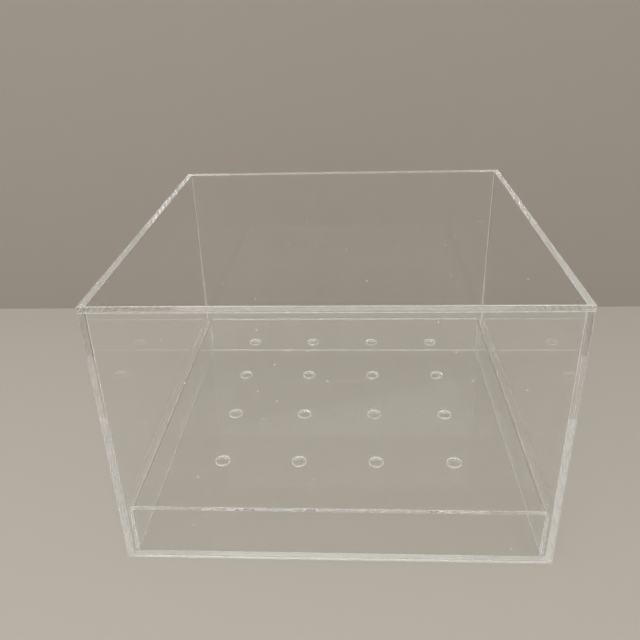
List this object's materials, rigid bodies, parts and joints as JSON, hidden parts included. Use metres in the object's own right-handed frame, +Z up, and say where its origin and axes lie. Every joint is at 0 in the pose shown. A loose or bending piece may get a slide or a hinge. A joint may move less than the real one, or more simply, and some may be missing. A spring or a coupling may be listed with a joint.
{
  "type": "acrylic display cover",
  "caption": "Clear acrylic display box: a cemented square cover stands round a drop-in base panel, over a low bent riser with a grid of round holes.",
  "frame": {"origin": "centre of the cover's footprint, on the surface it stands on", "axes": "+Z up, +X along the width to the viewer's right, -Y to the front, where the riser's open end shows"},
  "size_m": [0.3, 0.3, 0.2],
  "materials": {
    "clear_acrylic": "polished"
  },
  "bodies": {
    "base": {"base_panel": "clear_acrylic"},
    "cover": {"top_panel": "clear_acrylic", "front_panel": "clear_acrylic", "right_panel": "clear_acrylic", "back_panel": "clear_acrylic", "left_panel": "clear_acrylic"},
    "riser": {"perforated_riser": "clear_acrylic"}
  },
  "joints": [
    {"name": "cover_lift", "type": "slide", "parent": "base", "child": "cover", "axis": [0, 0, 1], "range_m": [0, 0.25]},
    {"name": "riser_lift", "type": "slide", "parent": "base", "child": "riser", "axis": [0, 0, 1], "range_m": [0, 0.14]}
  ]
}
